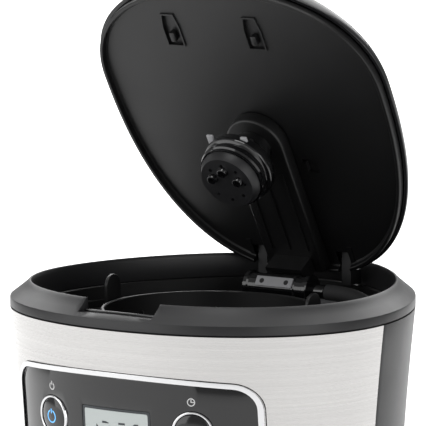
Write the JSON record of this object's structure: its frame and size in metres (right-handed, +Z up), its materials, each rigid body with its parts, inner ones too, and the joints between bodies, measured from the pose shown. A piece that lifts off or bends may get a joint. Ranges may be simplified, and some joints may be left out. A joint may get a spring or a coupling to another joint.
{
  "type": "drip coffee maker",
  "caption": "Programmable drip coffee maker: oval head with a steel front, hinged lid with a spray arm, lift-out basket, rear water tank and a glass carafe on a warming plate.",
  "frame": {"origin": "under the middle of the object's outline, lid open and carafe in place, on the plane that the feet stand on", "axes": "+Z up, -Y towards the user (control panel and carafe handle), +X to the user's right when facing the panel"},
  "size_m": [0.224, 0.236, 0.5172],
  "materials": {
    "aluminium": "cast",
    "black_gloss": "high gloss",
    "black_matte": "fine matte",
    "black_plastic": "satin moulded",
    "board_green": "solder mask",
    "chrome": "bright",
    "glass": "clear",
    "grey_plastic": "satin",
    "heater": "dull metal sheath",
    "plate_coating": "non-stick coating",
    "rubber": "matte",
    "screen": "clear window over a grey display",
    "silicone": "translucent silicone",
    "steel": "brushed lengthwise",
    "white_plastic": "satin"
  },
  "bodies": {
    "housing": {"base_shell": "black_plastic", "bottom_cover": "black_plastic", "foot_front_left": "rubber", "foot_front_right": "rubber", "foot_rear_left": "rubber", "foot_rear_right": "rubber", "warming_plate": "plate_coating", "plate_gasket": "rubber", "boiler_tube": "aluminium", "heater_element": "heater", "thermostat": "white_plastic", "thermal_fuse": "chrome", "power_board": "board_green", "cord_gland": "rubber", "check_valve": "white_plastic", "inlet_hose": "silicone", "riser_tube": "silicone", "supply_hose": "silicone", "rear_housing": "black_plastic", "column_front": "black_plastic", "steel_band": "steel", "front_shell": "black_plastic", "head_floor": "black_plastic", "water_gauge": "glass", "water_tank": "grey_plastic", "top_rim": "black_plastic", "inner_wall": "black_matte", "inner_deck": "black_matte", "brew_chamber": "black_matte", "panel_bezel": "chrome", "control_panel": "black_gloss", "display_window": "screen", "display_module": "grey_plastic", "control_board": "board_green", "power_ring": "chrome", "timer_ring": "chrome", "hinge_bracket_left": "black_plastic", "hinge_bracket_right": "black_plastic"},
    "lid": {"lid_cover": "black_gloss", "lid_liner": "black_matte", "hinge_rod": "steel", "water_duct": "black_matte", "spray_head": "black_gloss", "spray_plate": "black_plastic", "swivel_barrel": "black_plastic", "barrel_plate": "steel"},
    "basket": {"brew_basket": "black_matte", "drip_stop_cap": "black_plastic", "drip_stop_spring": "chrome"},
    "drip_stop": {"drip_stop_plunger": "white_plastic", "drip_stop_seal": "rubber"},
    "carafe": {"carafe_glass": "glass", "carafe_band": "steel", "carafe_handle": "black_plastic"},
    "carafe_cap": {"carafe_lid": "black_plastic"},
    "power_key": {"power_button": "black_gloss"},
    "timer_key": {"timer_button": "black_gloss"},
    "hour_key": {"hour_button": "grey_plastic"},
    "minute_key": {"minute_button": "grey_plastic"}
  },
  "joints": [
    {"name": "lid_hinge", "type": "hinge", "parent": "housing", "child": "lid", "pos_m": [0, 0.0874, 0.3561], "axis": [-1, 0, 0], "range_deg": [-58.4, 0], "deforming": ["supply_hose"]},
    {"name": "basket_lift", "type": "slide", "parent": "housing", "child": "basket", "axis": [0, 0, 1], "range_m": [0, 0.04]},
    {"name": "drip_stop_travel", "type": "slide", "parent": "basket", "child": "drip_stop", "axis": [0, 0, 1], "range_m": [0, 0.004], "stiffness_N_per_m": 150, "springref_m": -0.01, "deforming": ["drip_stop_spring"]},
    {"name": "carafe_slide", "type": "slide", "parent": "housing", "child": "carafe", "axis": [0, -1, 0], "range_m": [0, 0.25]},
    {"name": "carafe_lid_twist", "type": "hinge", "parent": "carafe", "child": "carafe_cap", "pos_m": [0, -0.015, 0.171], "axis": [0, 0, 1], "range_deg": [0, 60]},
    {"name": "power_press", "type": "slide", "parent": "housing", "child": "power_key", "axis": [-0.32, -0.9443, -0.0772], "range_m": [-0.0012, 0], "stiffness_N_per_m": 500, "springref_m": 0.002},
    {"name": "timer_press", "type": "slide", "parent": "housing", "child": "timer_key", "axis": [0.32, -0.9443, -0.0772], "range_m": [-0.0012, 0], "stiffness_N_per_m": 500, "springref_m": 0.002},
    {"name": "hour_press", "type": "slide", "parent": "housing", "child": "hour_key", "axis": [-0.0798, -0.9952, -0.0573], "range_m": [-0.0012, 0], "stiffness_N_per_m": 500, "springref_m": 0.002},
    {"name": "minute_press", "type": "slide", "parent": "housing", "child": "minute_key", "axis": [0.0798, -0.9952, -0.0573], "range_m": [-0.0012, 0], "stiffness_N_per_m": 500, "springref_m": 0.002}
  ]
}
